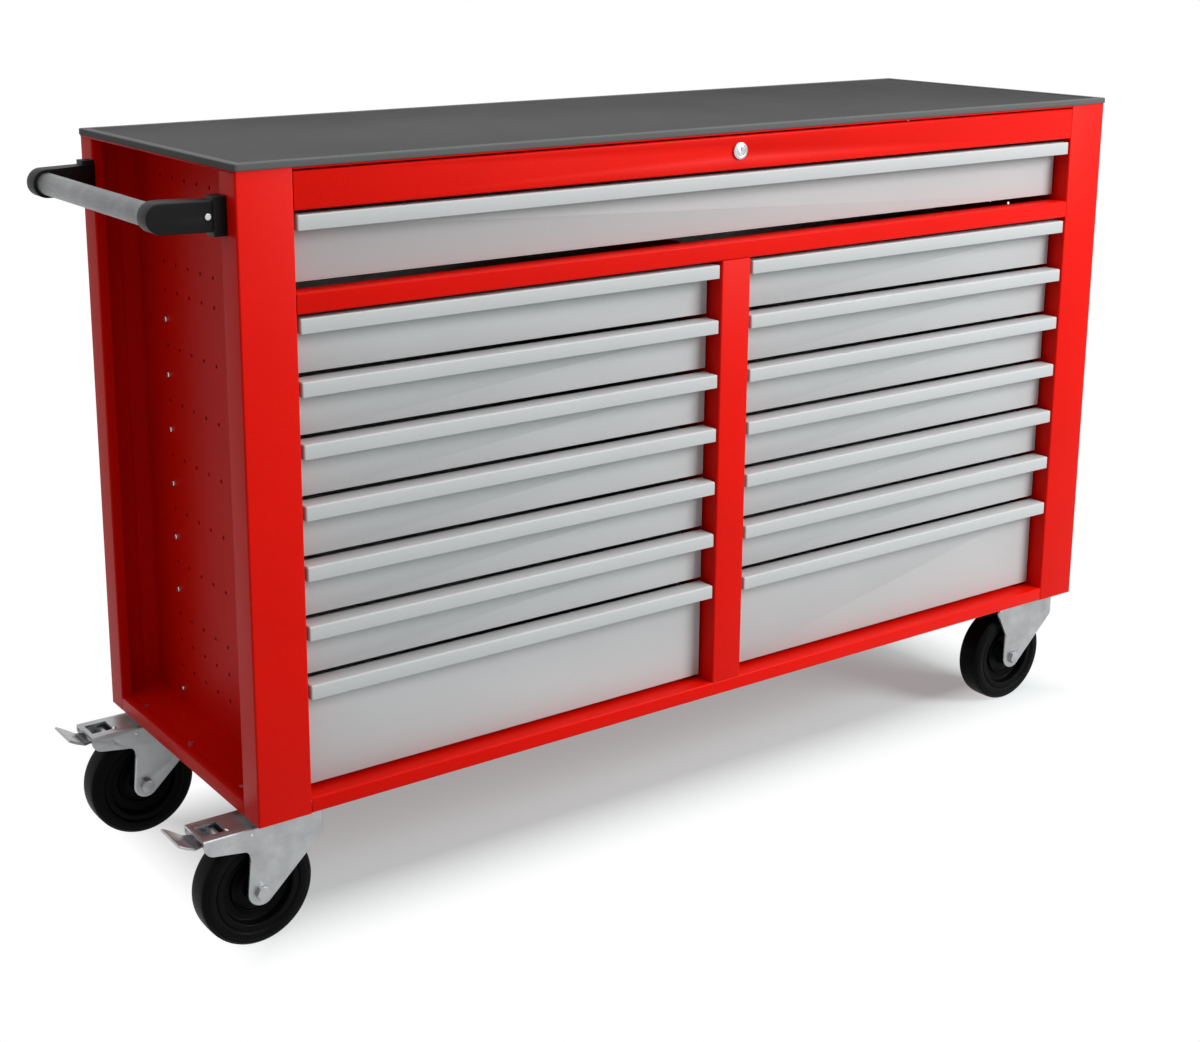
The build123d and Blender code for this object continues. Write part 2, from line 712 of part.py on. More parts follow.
def brake_pedal(place):
    """Fan-shaped pedal on a barrel round its pin, with a shoe that comes down on the tyre."""
    x_axle = place[0] - caster_trail
    y_axle = place[1]
    pivot_x, pivot_z = pedal_pivot
    taper_end, taper_start = pedal_taper
    pin_start = (x_axle + pivot_x, y_axle - pedal_root_half, wheel_radius + pivot_z)
    side = Plane((x_axle, y_axle + pedal_tip_half, wheel_radius), x_dir=(1, 0, 0), z_dir=(0, -1, 0))
    above = Plane((x_axle, y_axle, wheel_radius))
    half_fan = [(pivot_x, pedal_root_half), (taper_start, pedal_root_half), (taper_end, pedal_tip_half),
                (2 * housing_end, pedal_tip_half)]
    with BuildPart() as pedal:
        with BuildSketch(side):
            with BuildLine():
                FilletPolyline(pedal_tip, pedal_bend, (pivot_x, pedal_top), radius=pedal_bend_radius)
                offset(amount=pedal_sheet, side=Side.RIGHT)
            make_face()
        extrude(amount=2 * pedal_tip_half)
        with BuildSketch(above) as fan:
            with BuildLine():
                Polyline(*half_fan, *[(x, -y) for x, y in reversed(half_fan)], close=True)
            make_face()
            fillet(fan.vertices().group_by(Axis.X)[0], pedal_tip_radius)
        extrude(amount=2 * fork_crown, mode=Mode.INTERSECT)
        rod(pin_start, (0, 1, 0), 2 * pedal_root_half, pedal_barrel_radius)
        block(tuple(x_axle + limit for limit in shoe_x), (y_axle - shoe_half, y_axle + shoe_half),
              (wheel_radius + shoe_low, wheel_radius + pivot_z))
        rod(pin_start, (0, 1, 0), 2 * pedal_root_half, pedal_pin_radius + pin_fit, mode=Mode.SUBTRACT)
    return pedal


for name, place in caster_places.items():
    braked = "left" in name
    save(caster_fork(place, braked), f"{name}_caster_fork")
    save(caster_wheel(place), f"{name}_wheel")
    if braked:
        save(brake_pedal(place), f"{name}_brake_pedal")

# Fasteners: runner studs, floor screws, caster bolts, handle screws and the lock's nut
with BuildPart() as fasteners:
    for y, z in stud_places():
        rod((x_left + post_width, y, z), (-1, 0, 0), stud_height, stud_radius)
        rod((x_left + post_width, y, z), (1, 0, 0), panel_sheet, stud_shank)
    stud_rims = fasteners.edges().filter_by(GeomType.CIRCLE).group_by(Axis.X)[0]
    fillet(stud_rims, stud_dome)
    rod((x_left + floor_screw_inset, y_middle, z_floor), (0, 0, 1), floor_screw_height, stud_radius)
    mirror(about=left_to_right)
    for x, y in caster_places.values():
        with BuildSketch(Plane((x, y, plate_low - bolt_head_height))) as heads:
            with GridLocations(*plate_holes, 2, 2):
                RegularPolygon(bolt_hex_radius, 6)
        extrude(heads.sketch, amount=bolt_head_height)
        with BuildSketch(Plane((x, y, plate_low))) as shanks:
            with GridLocations(*plate_holes, 2, 2):
                Circle(bolt_radius)
        extrude(shanks.sketch, amount=z_floor - plate_low)
    with BuildPart(mode=Mode.PRIVATE) as handle_screw:
        rod(screw_place, (0, -1, 0), handle_screw_height, stud_radius)
        fillet(handle_screw.edges().group_by(Axis.Y)[0], handle_screw_dome)
        rod(screw_place, (0, 1, 0), handle_screw_length, stud_shank)
        mirror(about=front_to_back)
    add(handle_screw.part)
    nut_plane = Plane((x_middle, y_front + frame_sheet, lock_z), x_dir=(1, 0, 0), z_dir=(0, 1, 0))
    with BuildPart(mode=Mode.PRIVATE) as lock_nut:
        with BuildSketch(nut_plane):
            RegularPolygon(lock_nut_radius, 6)
            Circle(lock_barrel_radius + pin_fit, mode=Mode.SUBTRACT)
        extrude(amount=lock_nut_height)
    add(lock_nut.part)
save(fasteners, "fasteners")
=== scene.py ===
"""Rolling tool chest: the finishes, smoothed shells, turned pieces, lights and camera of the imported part."""

import json
import logging
import math
from dataclasses import dataclass
from enum import Enum
from typing import Optional, Sequence

import bmesh
import bpy
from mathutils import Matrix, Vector

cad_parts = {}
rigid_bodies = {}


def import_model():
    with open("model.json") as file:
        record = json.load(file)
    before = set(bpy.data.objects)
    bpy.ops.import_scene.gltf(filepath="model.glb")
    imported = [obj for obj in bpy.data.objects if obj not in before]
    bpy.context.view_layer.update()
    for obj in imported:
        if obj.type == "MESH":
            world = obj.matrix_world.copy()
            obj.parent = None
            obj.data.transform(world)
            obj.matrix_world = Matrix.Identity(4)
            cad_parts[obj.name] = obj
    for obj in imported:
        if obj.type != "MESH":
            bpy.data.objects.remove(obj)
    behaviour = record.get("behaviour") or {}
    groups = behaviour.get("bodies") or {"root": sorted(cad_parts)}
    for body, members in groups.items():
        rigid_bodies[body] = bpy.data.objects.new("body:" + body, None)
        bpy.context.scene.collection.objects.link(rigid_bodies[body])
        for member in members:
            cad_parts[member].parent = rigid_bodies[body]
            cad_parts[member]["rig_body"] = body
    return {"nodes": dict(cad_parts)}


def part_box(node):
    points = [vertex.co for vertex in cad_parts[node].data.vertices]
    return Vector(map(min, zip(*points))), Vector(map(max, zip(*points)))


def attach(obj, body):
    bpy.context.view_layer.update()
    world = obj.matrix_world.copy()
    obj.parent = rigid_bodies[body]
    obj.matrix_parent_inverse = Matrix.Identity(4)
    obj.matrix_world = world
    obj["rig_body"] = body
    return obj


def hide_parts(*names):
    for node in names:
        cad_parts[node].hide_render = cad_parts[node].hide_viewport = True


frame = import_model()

LOG = logging.getLogger("tool_chest")
MM = 0.001
Colour = tuple[float, float, float]
Socket = bpy.types.NodeSocket
TURNED_MAP = "turned"
SHELL_WELD = 0.002 * MM
TURNED_WELD = 0.001 * MM
FLAT_ANGLE = math.radians(0.5)
CORNER_ANGLE = math.radians(50)


class Side(Enum):
    """The two long-axis ends of the chest, as the sign of X."""

    LEFT = -1
    RIGHT = 1


# ---------------------------------------------------------------- materials


class Shader:
    """A procedural material while its nodes are laid out."""

    def __init__(self, name: str) -> None:
        """Start a material with one Principled shader.

        Args:
            name: The material's name.
        """
        self.material = bpy.data.materials.new(name)
        self.material.use_nodes = True
        self.tree = self.material.node_tree
        self.surface = self.tree.nodes["Principled BSDF"]
        self.place = self.add("ShaderNodeTexCoord").outputs["Object"]

    def add(self, kind: str, **settings: object) -> bpy.types.Node:
        """Add a node.

        Args:
            kind: The node's Blender type.
            **settings: Attributes set on the node.

        Returns:
            The new node.
        """
        node = self.tree.nodes.new(kind)
        for name, value in settings.items():
            setattr(node, name, value)
        return node

    def link(self, source: Socket, target: Socket) -> None:
        """Join an output socket to an input socket."""
        self.tree.links.new(source, target)

    def stretched(self, scale: Sequence[float]) -> Socket:
        """Object coordinates stretched along the axes.

        Args:
            scale: Factor along X, Y and Z.

        Returns:
            The stretched coordinates.
        """
        mapping = self.add("ShaderNodeMapping")
        mapping.inputs["Scale"].default_value = scale
        self.link(self.place, mapping.inputs["Vector"])
        return mapping.outputs["Vector"]

    def noise(self, size: float, detail: float = 3.0, rough: float = 0.5,
              where: Optional[Socket] = None) -> Socket:
        """Fractal noise.

        Args:
            size: Size of the coarsest grain, in metres.
            detail: Number of finer octaves.
            rough: Strength of the finer octaves.
            where: Coordinates, if not the plain object coordinates.

        Returns:
            A value around 0.5.
        """
        node = self.add("ShaderNodeTexNoise")
        node.inputs["Scale"].default_value = 1 / size
        node.inputs["Detail"].default_value = detail
        node.inputs["Roughness"].default_value = rough
        self.link(where or self.place, node.inputs["Vector"])
        return node.outputs["Fac"]

    def spread(self, value: Socket, low: float, high: float, start: float = 0.3,
               end: float = 0.7) -> Socket:
        """Map a noise value to a range.

        Args:
            value: The value to map.
            low: Result at the start.
            high: Result at the end.
            start: Value that gives low.
            end: Value that gives high.

        Returns:
            The mapped value.
        """
        node = self.add("ShaderNodeMapRange")
        for name, number in zip(("From Min", "From Max", "To Min", "To Max"), (start, end, low, high)):
            node.inputs[name].default_value = number
        self.link(value, node.inputs["Value"])
        return node.outputs["Result"]

    def between(self, factor: Socket, dark: Colour, light: Colour) -> Socket:
        """Blend two colours.

        Args:
            factor: 0 gives the dark colour and 1 the light one.
            dark: Linear colour.
            light: Linear colour.

        Returns:
            The blended colour.
        """
        node = self.add("ShaderNodeMix", data_type="RGBA")
        node.inputs["A"].default_value = (*dark, 1)
        node.inputs["B"].default_value = (*light, 1)
        self.link(factor, node.inputs["Factor"])
        return node.outputs["Result"]

    def mixed(self, factor: Socket, base: Socket, light: Colour) -> Socket:
        """Blend a varying colour with a plain one.

        Args:
            factor: 0 gives the varying colour and 1 the plain one.
            base: The varying colour.
            light: Linear colour.

        Returns:
            The blended colour.
        """
        node = self.add("ShaderNodeMix", data_type="RGBA")
        self.link(base, node.inputs["A"])
        node.inputs["B"].default_value = (*light, 1)
        self.link(factor, node.inputs["Factor"])
        return node.outputs["Result"]

    def bump(self, height: Socket, depth: float, strength: float = 1.0,
             under: Optional[Socket] = None) -> Socket:
        """Raise the surface by a height value.

        Args:
            height: The height, from 0 to 1.
            depth: Depth of the relief, in metres.
            strength: Share of the relief that is used.
            under: Normal of a coarser relief below this one.

        Returns:
            The bent normal, which is also joined to the surface.
        """
        node = self.add("ShaderNodeBump")
        node.inputs["Distance"].default_value = depth
        node.inputs["Strength"].default_value = strength
        self.link(height, node.inputs["Height"])
        if under is not None:
            self.link(under, node.inputs["Normal"])
        self.link(node.outputs["Normal"], self.surface.inputs["Normal"])
        return node.outputs["Normal"]

    def maths(self, operation: str, first: Socket, second: Socket | float = 0.0) -> Socket:
        """Combine two values.

        Args:
            operation: Name of the Math node's operation.
            first: The first value.
            second: The second value, as a socket or a number.

        Returns:
            The result.
        """
        node = self.add("ShaderNodeMath", operation=operation)
        self.link(first, node.inputs[0])
        if isinstance(second, (int, float)):
            node.inputs[1].default_value = second
        else:
            self.link(second, node.inputs[1])
        return node.outputs[0]

    def direct_rays(self) -> Socket:
        """1 where the camera, a reflection or a refraction looks straight at the surface."""
        rays = self.add("ShaderNodeLightPath")
        seen = self.maths("MAXIMUM", rays.outputs["Is Camera Ray"], rays.outputs["Is Glossy Ray"])
        return self.maths("MAXIMUM", seen, rays.outputs["Is Transmission Ray"])

    def colour(self, value: Socket) -> None:
        """Join a colour to the surface."""
        self.link(value, self.surface.inputs["Base Color"])

    def roughness(self, value: Socket) -> None:
        """Join a roughness to the surface."""
        self.link(value, self.surface.inputs["Roughness"])

    def constant(self, name: str, value: float) -> None:
        """Set a plain number on one of the surface's sockets."""
        self.surface.inputs[name].default_value = value


def scaled(colour: Colour, factor: float) -> Colour:
    """A colour made darker or lighter by a factor."""
    return tuple(channel * factor for channel in colour)


@dataclass(frozen=True)
class PowderCoat:
    """Baked powder coat: an even colour with a fine pebbled relief."""

    name: str
    colour: Colour
    pebble: float = 1.6 * MM
    relief: float = 0.10 * MM
    rough: float = 0.42
    gloss: float = 0.16
    variation: float = 0.10
    cloud: float = 160 * MM
    peel: float = 6 * MM
    peel_relief: float = 0.10 * MM

    def material(self) -> bpy.types.Material:
        """Build the finish."""
        shader = Shader(self.name)
        cloud = shader.noise(self.cloud, detail=2)
        fleck = shader.noise(self.pebble, detail=4, rough=0.6)
        tone = shader.maths("ADD", shader.spread(cloud, 0.0, 0.35), shader.spread(fleck, 0.0, 0.65))
        shader.colour(shader.between(tone, scaled(self.colour, 1 - self.variation),
                                     scaled(self.colour, 1 + self.variation)))
        shader.roughness(shader.spread(fleck, self.rough - 0.06, self.rough + 0.08))
        orange_peel = shader.bump(shader.noise(self.peel, detail=1), self.peel_relief, 0.35)
        shader.bump(fleck, self.relief, 0.9, under=orange_peel)
        shader.constant("Specular IOR Level", self.gloss)
        return shader.material


@dataclass(frozen=True)
class RubberMat:
    """Matt rubber sheet with a close speckled grain, a faint drawn direction, and a painted highlight: a paler
    colour painted on the rim round the sheet for the light that its raised rim catches.
    """

    name: str
    corner: Sequence[float]
    far_corner: Sequence[float]
    colour: Colour = (0.040, 0.040, 0.040)
    # Painted highlight: this paler grey on the rim band stands in for the light that the raised rim catches.
    rim_highlight_colour: Colour = (0.105, 0.105, 0.105)
    rim: float = 12 * MM
    rim_blend: float = 0.5 * MM
    grain: float = 2.2 * MM
    relief: float = 0.25 * MM
    patch: float = 220 * MM
    streak: float = 3.5 * MM
    drawn: Sequence[float] = (0.06, 1.0, 1.0)
    gloss: float = 0.10

    def material(self) -> bpy.types.Material:
        """Build the finish."""
        shader = Shader(self.name)
        grain = shader.noise(self.grain, detail=5, rough=0.7)
        patch = shader.noise(self.patch, detail=3)
        streak = shader.noise(self.streak, detail=3, where=shader.stretched(self.drawn))
        speckle = shader.spread(grain, 0.0, 0.45, 0.35, 0.68)
        tone = shader.maths("ADD", shader.spread(patch, 0.0, 0.3), speckle)
        tone = shader.maths("ADD", tone, shader.spread(streak, 0.0, 0.25))
        field_colour = shader.between(tone, scaled(self.colour, 0.6), scaled(self.colour, 1.5))
        # The rim band gets the paler rim colour, a painted highlight rather than a change in the rubber.
        shader.colour(shader.mixed(self.rim_highlight_band(shader), field_colour, self.rim_highlight_colour))
        shader.roughness(shader.spread(grain, 0.6, 0.8))
        shader.bump(grain, self.relief, 0.7)
        shader.constant("Specular IOR Level", self.gloss)
        return shader.material

    def rim_highlight_band(self, shader: Shader) -> Socket:
        """1 on the rim round the sheet, where the paler painted highlight goes, and 0 inside it.

        Args:
            shader: The material that is being laid out.

        Returns:
            The band's mask.
        """
        split = shader.add("ShaderNodeSeparateXYZ")
        shader.link(shader.place, split.inputs["Vector"])
        nearest = None
        for axis, low, high in zip("XY", self.corner, self.far_corner):
            middle, half = (low + high) / 2, (high - low) / 2
            off_middle = shader.maths("ABSOLUTE", shader.maths("SUBTRACT", split.outputs[axis], middle))
            outside = shader.maths("SUBTRACT", off_middle, half)
            nearest = outside if nearest is None else shader.maths("MAXIMUM", nearest, outside)
        return shader.spread(nearest, 0.0, 1.0, -self.rim - self.rim_blend, -self.rim + self.rim_blend)


@dataclass(frozen=True)
class PlatedSteel:
    """Zinc or nickel plating with a rolled grain and faint clouds."""

    name: str
    colour: Colour = (0.42, 0.43, 0.44)
    rough: float = 0.34
    grain: Sequence[float] = (1.0, 1.0, 6.0)
    cloud: float = 28 * MM
    streak: float = 1.4 * MM
    relief: float = 0.03 * MM
    metal: float = 0.9

    def material(self) -> bpy.types.Material:
        """Build the finish."""
        shader = Shader(self.name)
        cloud = shader.noise(self.cloud, detail=4, rough=0.6)
        streak = shader.noise(self.streak, detail=3, where=shader.stretched(self.grain))
        shader.colour(shader.between(shader.spread(cloud, 0.0, 1.0), scaled(self.colour, 0.82),
                                     scaled(self.colour, 1.12)))
        shader.roughness(shader.spread(streak, self.rough - 0.06, self.rough + 0.1))
        shader.bump(streak, self.relief, 0.5)
        shader.constant("Metallic", self.metal)
        return shader.material


@dataclass(frozen=True)
class Moulded:
    """Moulded plastic with a fine spark-eroded grain."""

    name: str
    colour: Colour = (0.005, 0.005, 0.0055)
    rough: float = 0.45
    grain: float = 0.9 * MM
    relief: float = 0.05 * MM
    cloud: float = 35 * MM
    gloss: float = 0.16

    def material(self) -> bpy.types.Material:
        """Build the finish."""
        shader = Shader(self.name)
        grain = shader.noise(self.grain, detail=4, rough=0.6)
        cloud = shader.noise(self.cloud, detail=3)
        shader.colour(shader.between(shader.spread(cloud, 0.0, 1.0), scaled(self.colour, 0.8),
                                     scaled(self.colour, 1.35)))
        shader.roughness(shader.spread(grain, self.rough - 0.05, self.rough + 0.08))
        shader.bump(grain, self.relief, 0.7)
        shader.constant("Specular IOR Level", self.gloss)
        return shader.material


@dataclass(frozen=True)
class TyreRubber:
    """Black rubber with fine radial ribs on the side wall, laid out by the turned piece's own UV map."""

    name: str
    colour: Colour = (0.0022, 0.0022, 0.0023)
    rough: float = 0.42
    ribs: int = 96
    rib_height: float = 1.0 * MM
    wall: tuple[float, float] = (0.585, 0.665)
    wall_blend: float = 0.01
    grain: float = 1.2 * MM
    relief: float = 0.05 * MM
    cloud: float = 30 * MM
    gloss: float = 0.045

    def material(self) -> bpy.types.Material:
        """Build the finish."""
        shader = Shader(self.name)
        split = shader.add("ShaderNodeSeparateXYZ")
        shader.link(shader.add("ShaderNodeUVMap", uv_map=TURNED_MAP).outputs["UV"], split.inputs["Vector"])
        turn, radius = split.outputs["X"], split.outputs["Y"]
        rib = shader.maths("PINGPONG", shader.maths("MULTIPLY", turn, self.ribs), 0.5)
        inner, outer = self.wall
        on_wall = shader.maths("MULTIPLY", shader.spread(radius, 0.0, 1.0, inner, inner + self.wall_blend),
                               shader.spread(radius, 1.0, 0.0, outer - self.wall_blend, outer))
        grain = shader.noise(self.grain, detail=4, rough=0.6)
        cloud = shader.noise(self.cloud, detail=3)
        shader.colour(shader.between(shader.spread(cloud, 0.0, 1.0), scaled(self.colour, 0.7),
                                     scaled(self.colour, 1.5)))
        shader.roughness(shader.spread(grain, self.rough - 0.06, self.rough + 0.1))
        ribbed = shader.bump(shader.maths("MULTIPLY", rib, on_wall), self.rib_height, 0.8)
        shader.bump(grain, self.relief, 0.6, under=ribbed)
        shader.constant("Specular IOR Level", self.gloss)
        return shader.material


@dataclass(frozen=True)
class Finishes:
    """Every finish on the chest."""

    red: PowderCoat = PowderCoat("red_powder_coat", (0.66, 0.0040, 0.0003), gloss=0.08)
    grey: PowderCoat = PowderCoat("grey_powder_coat", (0.50, 0.50, 0.505), relief=0.05 * MM, variation=0.04)
    zinc: PlatedSteel = PlatedSteel("zinc_plating")
    strip: PlatedSteel = PlatedSteel("runner_strip", (0.48, 0.49, 0.50), 0.3, (1.0, 0.1, 1.0))
    bright: PlatedSteel = PlatedSteel("nickel_plating", (0.60, 0.61, 0.62), 0.22)
    tube: PlatedSteel = PlatedSteel("satin_tube", (0.22, 0.223, 0.228), 0.42, (1.0, 0.05, 1.0))
    black: Moulded = Moulded("black_plastic")
    tyre: TyreRubber = TyreRubber("tyre_rubber")


class Palette:
    """The finishes as materials, each built once."""

    def __init__(self) -> None:
        """Build every material of the chest."""
        finishes = Finishes()
        self.red = finishes.red.material()
        self.grey = finishes.grey.material()
        self.mat = RubberMat("mat_rubber", *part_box("worktop_mat")).material()
        self.zinc = finishes.zinc.material()
        self.strip = finishes.strip.material()
        self.bright = finishes.bright.material()
        self.tube = finishes.tube.material()
        self.black = finishes.black.material()
        self.tyre = finishes.tyre.material()


# ---------------------------------------------------------------- mesh tools


def finish_mesh(name: str, bm: bmesh.types.BMesh, material: bpy.types.Material,
                sharp: float = 35.0) -> bpy.types.Object:
    """Turn a bmesh into an object with smooth faces and sharp edges.

    Args:
        name: Name of the piece.
        bm: The finished bmesh, which is freed.
        material: Its finish.
        sharp: Angle between faces, in degrees, past which an edge stays sharp.

    Returns:
        The new object, linked to the scene.
    """
    mesh = bpy.data.meshes.new(name)
    bm.to_mesh(mesh)
    bm.free()
    mesh.polygons.foreach_set("use_smooth", [True] * len(mesh.polygons))
    mesh.set_sharp_from_angle(angle=math.radians(sharp))
    mesh.materials.append(material)
    piece = bpy.data.objects.new(name, mesh)
    bpy.context.scene.collection.objects.link(piece)
    return piece


def stand_in(piece: bpy.types.Object, node: str) -> bpy.types.Object:
    """Let a piece stand for a node, on that node's body.

    Args:
        piece: The new piece.
        node: Name of the node that it replaces.

    Returns:
        The piece.
    """
    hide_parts(node)
    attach(piece, frame["nodes"][node]["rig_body"])
    LOG.info("%s stands for %s", piece.name, node)
    return piece


def shell(node: str, material: bpy.types.Material, rounding: float = 0.25 * MM,
          segments: int = 2) -> bpy.types.Object:
    """Merged copy of a node's mesh with broken edges and smooth folds.

    Args:
        node: The node to copy.
        material: Its finish.
        rounding: Width of the broken edges.
        segments: Segments across each broken edge.

    Returns:
        The piece that stands for the node.
    """
    bm = bmesh.new()
    bm.from_mesh(frame["nodes"][node].data)
    bmesh.ops.remove_doubles(bm, verts=bm.verts, dist=SHELL_WELD)
    bmesh.ops.dissolve_limit(bm, angle_limit=FLAT_ANGLE, verts=bm.verts, edges=bm.edges)
    if rounding:
        corners = [edge for edge in bm.edges
                   if len(edge.link_faces) == 2 and edge.calc_face_angle(0.0) > CORNER_ANGLE]
        bmesh.ops.bevel(bm, geom=corners, offset=rounding, segments=segments, profile=0.5,
                        affect="EDGES", material=-1, clamp_overlap=True)
    return stand_in(finish_mesh(f"{node}_shell", bm, material), node)


def dress(node: str, material: bpy.types.Material) -> None:
    """Give a node that keeps its own mesh a finish.

    Args:
        node: Name of the node.
        material: Its finish.
    """
    mesh = frame["nodes"][node].data
    mesh.materials.clear()
    mesh.materials.append(material)
    LOG.info("%s keeps its own mesh", node)


def turned(name: str, outline: Sequence[tuple[float, float]], centre: Vector, axis: Vector,
           material: bpy.types.Material, steps: int = 144, sharp: float = 35.0) -> bpy.types.Object:
    """Round piece turned about an axis, with a UV map of the turn and the radius.

    Args:
        name: Name of the piece.
        outline: Points as (radius, distance along the axis), in metres.
        centre: Origin of the outline.
        axis: Unit direction of the axis.
        material: Its finish.
        steps: Flats round the piece.
        sharp: Angle past which an edge stays sharp, in degrees.

    Returns:
        The new object.
    """
    across = axis.orthogonal().normalized()
    bm = bmesh.new()
    points = [bm.verts.new(centre + across * radius + axis * along) for radius, along in outline]
    edges = [bm.edges.new(pair) for pair in zip(points, points[1:])]
    bmesh.ops.spin(bm, geom=points + edges, cent=centre, axis=axis, dvec=Vector(), angle=math.tau,
                   steps=steps, use_merge=True, use_duplicate=False)
    bmesh.ops.remove_doubles(bm, verts=bm.verts, dist=TURNED_WELD)
    bmesh.ops.recalc_face_normals(bm, faces=bm.faces)
    layer = bm.loops.layers.uv.new(TURNED_MAP)
    beside = axis.cross(across)
    for face in bm.faces:
        turns = []
        for loop in face.loops:
            arm = loop.vert.co - centre
            turns.append(math.atan2(arm.dot(beside), arm.dot(across)) / math.tau % 1.0)
        crosses_seam = max(turns) - min(turns) > 0.5
        for loop, turn in zip(face.loops, turns):
            arm = loop.vert.co - centre
            radius = (arm - axis * arm.dot(axis)).length
            loop[layer].uv = (turn + 1 if crosses_seam and turn < 0.5 else turn, radius * 10)
    return finish_mesh(name, bm, material, sharp)


def dome(radius: float, height: float, steps: int = 6) -> list[tuple[float, float]]:
    """Outline of a closed dome that stands on a surface.

    Args:
        radius: Radius of its foot, in metres.
        height: Its height.
        steps: Number of parts of the arc.

    Returns:
        Points as (radius, distance along the axis).
    """
    arc = [(radius * math.cos(part * math.pi / 2 / steps), height * math.sin(part * math.pi / 2 / steps))
           for part in range(steps)]
    return [(0.0, 0.0), *arc, (0.0, height)]


# ---------------------------------------------------------------- sub-assemblies


@dataclass
class Cabinet:
    """The folded sheet-metal body with its rails, posts and panels."""

    palette: Palette
    folded: tuple[str, ...] = ("front_posts", "rear_posts", "centre_post", "centre_divider", "upper_rail",
                               "cross_rail", "bottom_rail", "bottom_panel", "top_panel")
    flat: tuple[str, ...] = ("back_panel", "left_side_panel", "right_side_panel")

    def build(self) -> None:
        """Dress the panels and round the folded members."""
        for node in self.folded:
            shell(node, self.palette.red)
        for node in self.flat:
            dress(node, self.palette.red)
        shell("worktop_mat", self.palette.mat, 0.5 * MM)
        dress("cabinet_runners", self.palette.strip)
        dress("fasteners", self.palette.bright)


@dataclass
class Drawers:
    """The fifteen drawers, each a folded front and a tray with its runner members."""

    palette: Palette
    rows: int = 7

    def names(self) -> list[str]:
        """Names of the drawers, from the top down."""
        banks = [f"{side.name.lower()}_drawer_{row}" for side in Side for row in range(1, self.rows + 1)]
        return ["top_drawer", *banks]

    def build(self) -> None:
        """Build every front and tray."""
        for name in self.names():
            shell(f"{name}_front", self.palette.grey, 0.3 * MM)
            shell(f"{name}_tray", self.palette.grey, 0.2 * MM)


@dataclass
class Handle:
    """The push handle at the left end."""

    palette: Palette

    def build(self) -> None:
        """Build the bar and its brackets."""
        shell("handle_bar", self.palette.tube, 0.3 * MM)
        shell("handle_brackets", self.palette.black, 1.0 * MM, 3)


@dataclass
class Lock:
    """The cam lock in the upper rail."""

    palette: Palette

    def build(self) -> None:
        """Build the housing and the plug."""
        shell("lock_body", self.palette.bright, 0.2 * MM)
        shell("lock_plug", self.palette.bright, 0.1 * MM)


@dataclass
class Casters:
    """Four swivel casters; the two on the left have brakes."""

    palette: Palette
    places: tuple[str, ...] = ("front_left", "rear_left", "front_right", "rear_right")
    half_wheel: tuple[tuple[float, float], ...] = (
        (6.05, 23.0), (13.6, 23.0), (14.6, 22.6), (15.2, 21.6), (16.4, 8.0), (17.4, 6.6), (18.6, 6.1),
        (29.4, 6.1), (30.2, 6.6), (30.9, 10.4), (31.4, 11.0), (32.6, 11.0), (33.1, 10.4), (33.8, 6.6),
        (34.6, 6.1), (44.8, 6.1), (45.8, 6.8), (46.6, 9.5), (47.2, 16.4), (47.9, 17.6), (48.8, 18.0),
        (54.4, 18.0), (55.2, 17.7), (55.8, 17.1), (56.4, 17.6), (57.0, 18.8), (57.9, 19.6), (59.0, 20.0),
        (65.4, 20.0), (66.6, 19.9), (67.2, 19.4), (67.8, 19.0), (68.5, 19.2), (69.4, 19.1), (70.6, 18.4),
        (71.5, 17.6), (71.9, 16.9), (72.5, 16.5), (73.1, 16.3), (73.7, 15.4), (74.2, 14.2), (74.6, 12.0),
        (74.85, 7.0), (75.0, 0.0))
    rivet: tuple[float, float, float] = (-36.0, -13.0, 88.0)
    rivet_size: tuple[float, float] = (3.2, 1.6)
    pip: tuple[float, float] = (-11.0, 79.0)
    pip_size: tuple[float, float] = (1.8, 0.6)
    leg_face: float = 29.0

    def build(self) -> None:
        """Build the plates, forks, wheels and pedals."""
        shell("caster_plates", self.palette.zinc, 0.4 * MM)
        for place in self.places:
            shell(f"{place}_caster_fork", self.palette.zinc, 0.6 * MM, 3)
            axle = self.axle(place)
            self.wheel(place, axle)
            if "left" in place:
                shell(f"{place}_brake_pedal", self.palette.zinc, 0.8 * MM, 3)
                self.marks(place, axle)

    @staticmethod
    def axle(place: str) -> Vector:
        """Middle of a wheel, from its node's mesh.

        Args:
            place: Name of the caster.

        Returns:
            The point, in metres.
        """
        points = [vertex.co for vertex in frame["nodes"][f"{place}_wheel"].data.vertices]
        return Vector((min(point[k] for point in points) + max(point[k] for point in points)) / 2
                      for k in range(3))

    def wheel(self, place: str, axle: Vector) -> None:
        """Turn one wheel in place of its node.

        Args:
            place: Name of the caster.
            axle: Middle of the wheel.
        """
        front = [(radius * MM, -half * MM) for radius, half in self.half_wheel]
        back = [(radius * MM, half * MM) for radius, half in reversed(self.half_wheel[:-1])]
        outline = front + back + front[:1]
        piece = turned(f"{place}_wheel_turned", outline, axle, Vector((0, 1, 0)), self.palette.tyre, sharp=50)
        stand_in(piece, f"{place}_wheel")

    def marks(self, place: str, axle: Vector) -> None:
        """Rivet on the brake housing and the pressed pips on the legs.

        Args:
            place: Name of the caster.
            axle: Middle of the wheel.
        """
        pip_x, pip_z = self.pip
        spots = [("rivet", self.rivet, (0, 0, 1), self.rivet_size),
                 ("pip_front", (pip_x, -self.leg_face, pip_z), (0, -1, 0), self.pip_size),
                 ("pip_rear", (pip_x, self.leg_face, pip_z), (0, 1, 0), self.pip_size)]
        for name, spot, direction, (radius, height) in spots:
            piece = turned(f"{place}_{name}", dome(radius * MM, height * MM), axle + Vector(spot) * MM,
                           Vector(direction), self.palette.bright, steps=32)
            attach(piece, f"{place}_caster")


# ---------------------------------------------------------------- studio


